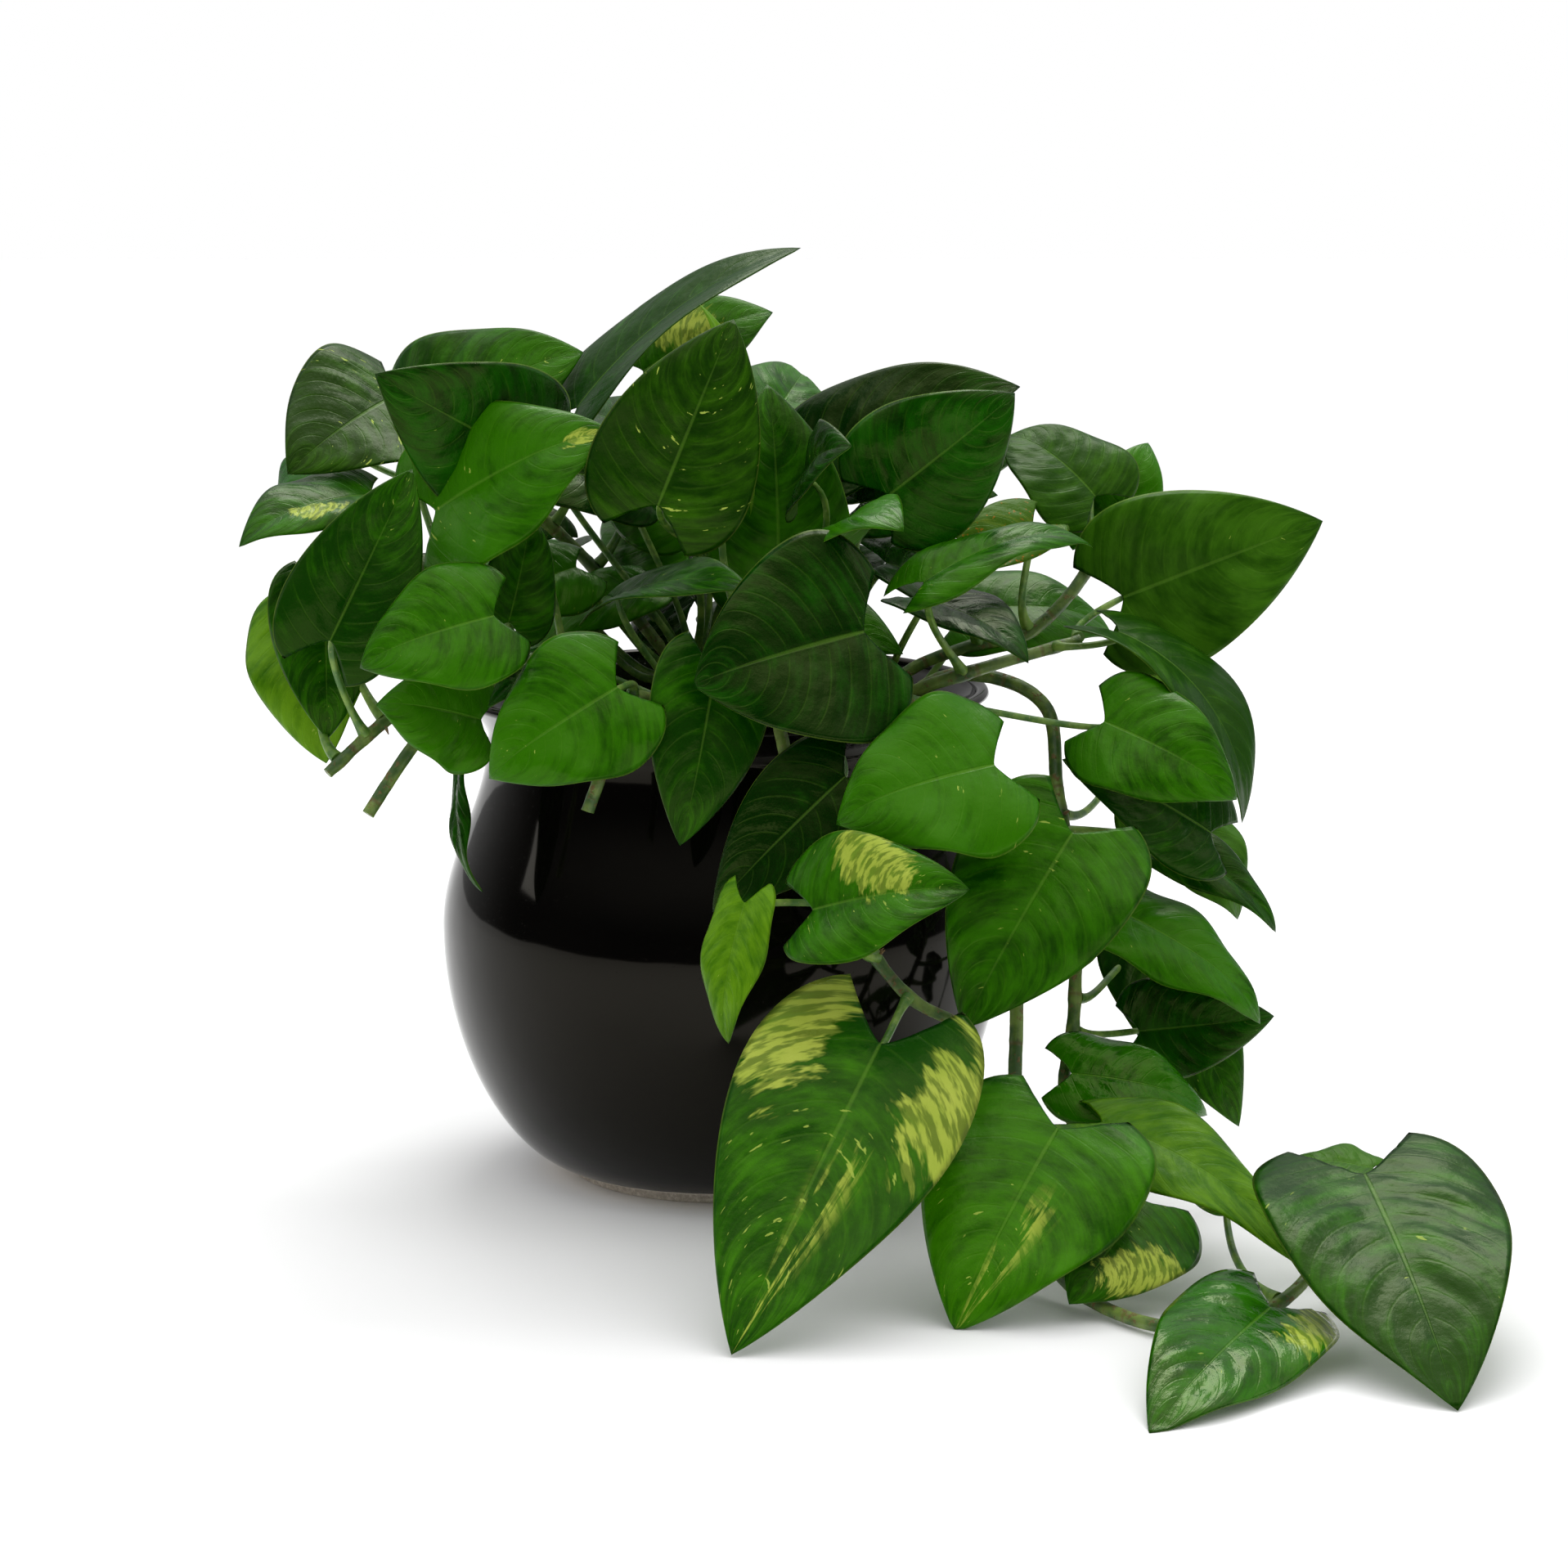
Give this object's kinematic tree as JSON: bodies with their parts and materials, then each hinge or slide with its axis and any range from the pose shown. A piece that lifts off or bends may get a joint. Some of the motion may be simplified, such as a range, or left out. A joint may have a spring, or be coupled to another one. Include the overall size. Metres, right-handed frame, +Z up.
{
  "type": "potted pothos plant",
  "caption": "Trailing pothos with heart-shaped marbled leaves on vines, rooted in a round black glazed ceramic pot.",
  "frame": {"origin": "centre of the pot's flat base, on the surface that the pot stands on", "axes": "+Z up along the pot's turning axis, +X to the right as seen from the front, -Y to the front, the side that the longest vine trails to"},
  "size_m": [0.4634, 0.4361, 0.3624],
  "materials": {
    "ceramic": "black gloss glaze, unglazed grey-beige foot",
    "soil": "matt crumbly potting mix",
    "stem": "green stem skin with corky brown scars",
    "foliage": "waxy green leaf with cream and yellow marbling"
  },
  "bodies": {
    "root": {"leaf_centre_face": "foliage", "leaf_centre_tall": "foliage", "leaf_front_big": "foliage", "leaf_front_drop": "foliage", "leaf_front_heart": "foliage", "leaf_front_kite": "foliage", "leaf_front_left": "foliage", "leaf_front_roof": "foliage", "leaf_front_slip": "foliage", "leaf_ground_back": "foliage", "leaf_ground_big": "foliage", "leaf_ground_gloss": "foliage", "leaf_left_back": "foliage", "leaf_left_dangle": "foliage", "leaf_left_droop": "foliage", "leaf_left_fold": "foliage", "leaf_left_ledge": "foliage", "leaf_left_pale": "foliage", "leaf_left_round": "foliage", "leaf_left_shoulder": "foliage", "leaf_left_upright": "foliage", "leaf_left_wing": "foliage", "leaf_low_heart": "foliage", "leaf_low_oval": "foliage", "leaf_low_small": "foliage", "leaf_low_strap": "foliage", "leaf_low_yellow": "foliage", "leaf_middle_curl": "foliage", "leaf_middle_dark": "foliage", "leaf_middle_flag": "foliage", "leaf_ribbon": "foliage", "leaf_right_arch": "foliage", "leaf_right_back": "foliage", "leaf_right_behind": "foliage", "leaf_right_big": "foliage", "leaf_right_curl": "foliage", "leaf_right_heart": "foliage", "leaf_right_hood": "foliage", "leaf_right_kite": "foliage", "leaf_right_lobe": "foliage", "leaf_right_round": "foliage", "leaf_right_shell": "foliage", "leaf_right_strap": "foliage", "leaf_right_under": "foliage", "leaf_spotted": "foliage", "leaf_top_back": "foliage", "leaf_top_left": "foliage", "leaf_top_right": "foliage", "leaf_top_spear": "foliage", "leaf_upper_left": "foliage", "leaf_variegated": "foliage", "leaf_young": "foliage", "pot": "ceramic", "potting_mix": "soil", "vine_centre": "stem", "vine_hanging": "stem", "vine_left": "stem", "vine_middle": "stem", "vine_right": "stem", "vine_trailing": "stem"}
  },
  "joints": []
}
